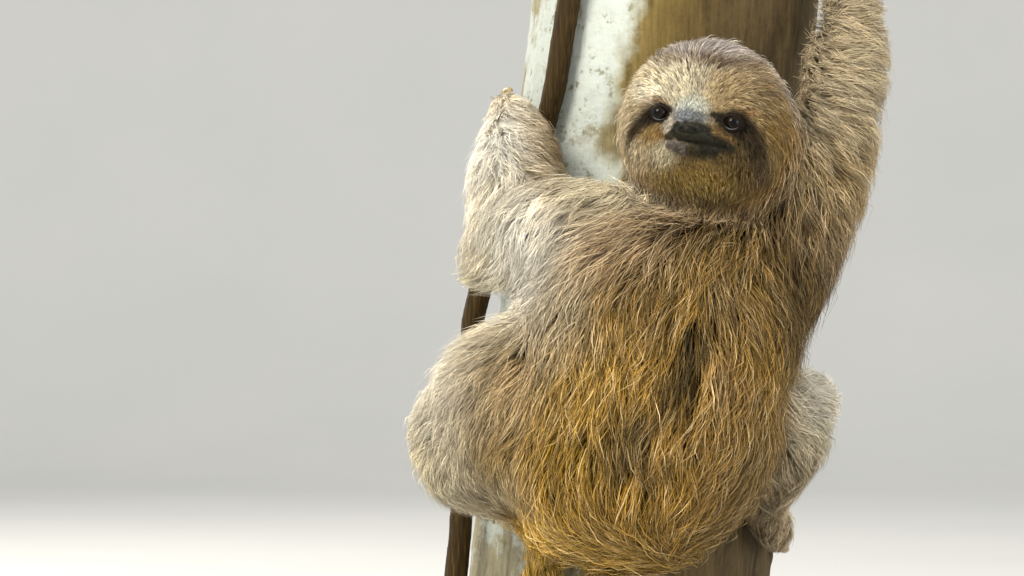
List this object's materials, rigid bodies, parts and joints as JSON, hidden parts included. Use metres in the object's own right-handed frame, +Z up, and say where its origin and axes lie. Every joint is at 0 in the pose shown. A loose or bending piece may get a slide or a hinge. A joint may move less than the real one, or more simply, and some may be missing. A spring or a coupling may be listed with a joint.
{
  "type": "three-toed sloth model on a display stand",
  "caption": "Life-size young three-toed sloth hugging a cut tree trunk, seen from its back with the head turned round, held on a flat base by short rods.",
  "frame": {"origin": "middle of the stand's flat underside", "axes": "+Z up, -Y out of the animal's back towards the viewer, +X towards the animal's own right side"},
  "size_m": [0.3046, 0.2987, 0.502],
  "materials": {
    "back_coat": "long shaggy hair, dull",
    "limb_coat": "long shaggy hair, dull",
    "face_coat": "short dense hair, dull",
    "nose_skin": "bare moist skin",
    "eye": "wet gloss",
    "claw": "horn, satin",
    "bark": "rough bark with lichen",
    "liana": "smooth thin bark",
    "base_wood": "satin lacquer",
    "rod_steel": "brushed"
  },
  "bodies": {
    "root": {"stand_base": "base_wood", "stand_rod_1": "rod_steel", "stand_rod_2": "rod_steel", "perch_trunk": "bark", "perch_liana": "liana", "eye_left": "eye", "eye_right": "eye", "nose": "nose_skin", "head": "face_coat", "torso": "back_coat", "neck": "back_coat", "tail": "back_coat", "upper_arm_left": "limb_coat", "forearm_left": "limb_coat", "hand_left": "limb_coat", "hand_left_claw_1": "claw", "hand_left_claw_2": "claw", "hand_left_claw_3": "claw", "upper_arm_right": "limb_coat", "forearm_right": "limb_coat", "hand_right": "limb_coat", "hand_right_claw_1": "claw", "hand_right_claw_2": "claw", "hand_right_claw_3": "claw", "thigh_left": "limb_coat", "shank_left": "limb_coat", "foot_left": "limb_coat", "foot_left_claw_1": "claw", "foot_left_claw_2": "claw", "foot_left_claw_3": "claw", "thigh_right": "limb_coat", "shank_right": "limb_coat", "foot_right": "limb_coat", "foot_right_claw_1": "claw", "foot_right_claw_2": "claw", "foot_right_claw_3": "claw"}
  },
  "joints": []
}
